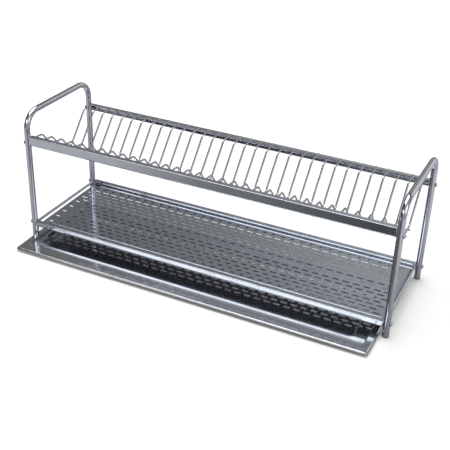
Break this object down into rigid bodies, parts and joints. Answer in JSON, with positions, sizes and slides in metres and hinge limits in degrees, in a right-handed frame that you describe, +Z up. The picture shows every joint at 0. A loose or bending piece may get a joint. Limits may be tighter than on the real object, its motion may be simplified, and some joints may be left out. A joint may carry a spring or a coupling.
{
  "type": "dish drainer",
  "caption": "Standing steel dish drainer with bent plate wires above a slotted cup shelf and a shallow drip tray that slides out on the worktop.",
  "frame": {"origin": "centre of the whole object's bounding box on the worktop, with the drip tray pulled forward as at rest", "axes": "+X right along the rails, +Y from the tray's front edge to the back, +Z up"},
  "size_m": [0.8806, 0.338, 0.312],
  "materials": {
    "polished_steel": "polished stainless steel",
    "sheet_steel": "bright rolled stainless sheet",
    "foot_plastic": "satin moulded plastic"
  },
  "bodies": {
    "rack": {"left_end_frame": "polished_steel", "right_end_frame": "polished_steel", "upper_front_left_bolt": "polished_steel", "upper_front_right_bolt": "polished_steel", "upper_rear_left_bolt": "polished_steel", "upper_rear_right_bolt": "polished_steel", "lower_front_left_bolt": "polished_steel", "lower_front_right_bolt": "polished_steel", "lower_rear_left_bolt": "polished_steel", "lower_rear_right_bolt": "polished_steel", "front_left_foot": "foot_plastic", "front_right_foot": "foot_plastic", "rear_left_foot": "foot_plastic", "rear_right_foot": "foot_plastic", "upper_front_rail": "polished_steel", "upper_rear_rail": "polished_steel", "lower_front_rail": "polished_steel", "lower_rear_rail": "polished_steel", "plate_wire_01": "polished_steel", "plate_wire_02": "polished_steel", "plate_wire_03": "polished_steel", "plate_wire_04": "polished_steel", "plate_wire_05": "polished_steel", "plate_wire_06": "polished_steel", "plate_wire_07": "polished_steel", "plate_wire_08": "polished_steel", "plate_wire_09": "polished_steel", "plate_wire_10": "polished_steel", "plate_wire_11": "polished_steel", "plate_wire_12": "polished_steel", "plate_wire_13": "polished_steel", "plate_wire_14": "polished_steel", "plate_wire_15": "polished_steel", "plate_wire_16": "polished_steel", "plate_wire_17": "polished_steel", "plate_wire_18": "polished_steel", "plate_wire_19": "polished_steel", "plate_wire_20": "polished_steel", "plate_wire_21": "polished_steel", "plate_wire_22": "polished_steel", "plate_wire_23": "polished_steel", "plate_wire_24": "polished_steel", "plate_wire_25": "polished_steel", "plate_wire_26": "polished_steel", "plate_wire_27": "polished_steel", "plate_wire_28": "polished_steel", "plate_wire_29": "polished_steel", "plate_wire_30": "polished_steel", "plate_wire_31": "polished_steel", "plate_wire_32": "polished_steel", "front_cradle_rod": "polished_steel", "rear_cradle_rod": "polished_steel", "left_side_bar": "polished_steel", "right_side_bar": "polished_steel"},
    "shelf": {"cup_shelf": "sheet_steel"},
    "tray": {"drip_tray": "sheet_steel"}
  },
  "joints": [
    {"name": "tray_slide", "type": "slide", "parent": "rack", "child": "tray", "axis": [0, -1, 0], "range_m": [-0.079, 0.18]},
    {"name": "shelf_lift", "type": "slide", "parent": "rack", "child": "shelf", "axis": [0, 0, 1], "range_m": [0, 0.08]}
  ]
}
